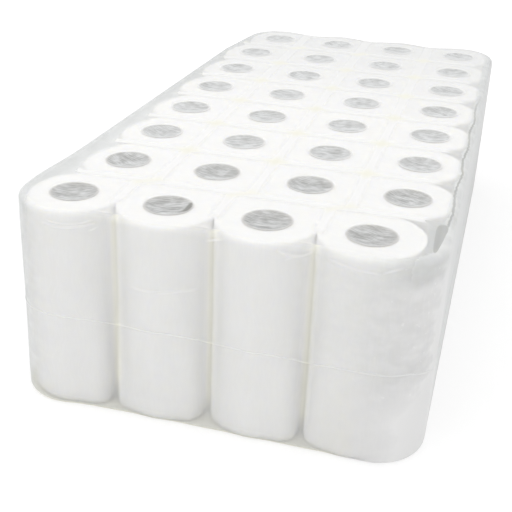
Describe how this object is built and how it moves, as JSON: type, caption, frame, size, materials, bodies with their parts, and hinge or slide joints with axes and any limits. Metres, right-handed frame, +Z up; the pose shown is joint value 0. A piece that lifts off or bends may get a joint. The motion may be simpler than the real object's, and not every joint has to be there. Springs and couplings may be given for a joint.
{
  "type": "pack of paper towel rolls",
  "caption": "Single layer of white paper towel rolls standing on end on cardboard cores, held together in one skin of clear shrink film.",
  "frame": {"origin": "middle of the pack's underside, on the surface it stands on", "axes": "+X across the pack from left to right, +Y from the front row to the back row, +Z up along the rolls' cores"},
  "size_m": [0.42, 0.8049, 0.2168],
  "materials": {
    "clear_film": "clear glossy shrink film with fine wrinkles",
    "towel_paper": "soft matte white tissue",
    "core_board": "matte grey-brown board"
  },
  "bodies": {
    "root": {"film_wrap": "clear_film", "core_tubes_r1": "core_board", "paper_roll_r1c1": "towel_paper", "paper_roll_r1c2": "towel_paper", "paper_roll_r1c3": "towel_paper", "paper_roll_r1c4": "towel_paper", "core_tubes_r2": "core_board", "paper_roll_r2c1": "towel_paper", "paper_roll_r2c2": "towel_paper", "paper_roll_r2c3": "towel_paper", "paper_roll_r2c4": "towel_paper", "core_tubes_r3": "core_board", "paper_roll_r3c1": "towel_paper", "paper_roll_r3c2": "towel_paper", "paper_roll_r3c3": "towel_paper", "paper_roll_r3c4": "towel_paper", "core_tubes_r4": "core_board", "paper_roll_r4c1": "towel_paper", "paper_roll_r4c2": "towel_paper", "paper_roll_r4c3": "towel_paper", "paper_roll_r4c4": "towel_paper", "core_tubes_r5": "core_board", "paper_roll_r5c1": "towel_paper", "paper_roll_r5c2": "towel_paper", "paper_roll_r5c3": "towel_paper", "paper_roll_r5c4": "towel_paper", "core_tubes_r6": "core_board", "paper_roll_r6c1": "towel_paper", "paper_roll_r6c2": "towel_paper", "paper_roll_r6c3": "towel_paper", "paper_roll_r6c4": "towel_paper", "core_tubes_r7": "core_board", "paper_roll_r7c1": "towel_paper", "paper_roll_r7c2": "towel_paper", "paper_roll_r7c3": "towel_paper", "paper_roll_r7c4": "towel_paper", "core_tubes_r8": "core_board", "paper_roll_r8c1": "towel_paper", "paper_roll_r8c2": "towel_paper", "paper_roll_r8c3": "towel_paper", "paper_roll_r8c4": "towel_paper"}
  },
  "joints": []
}
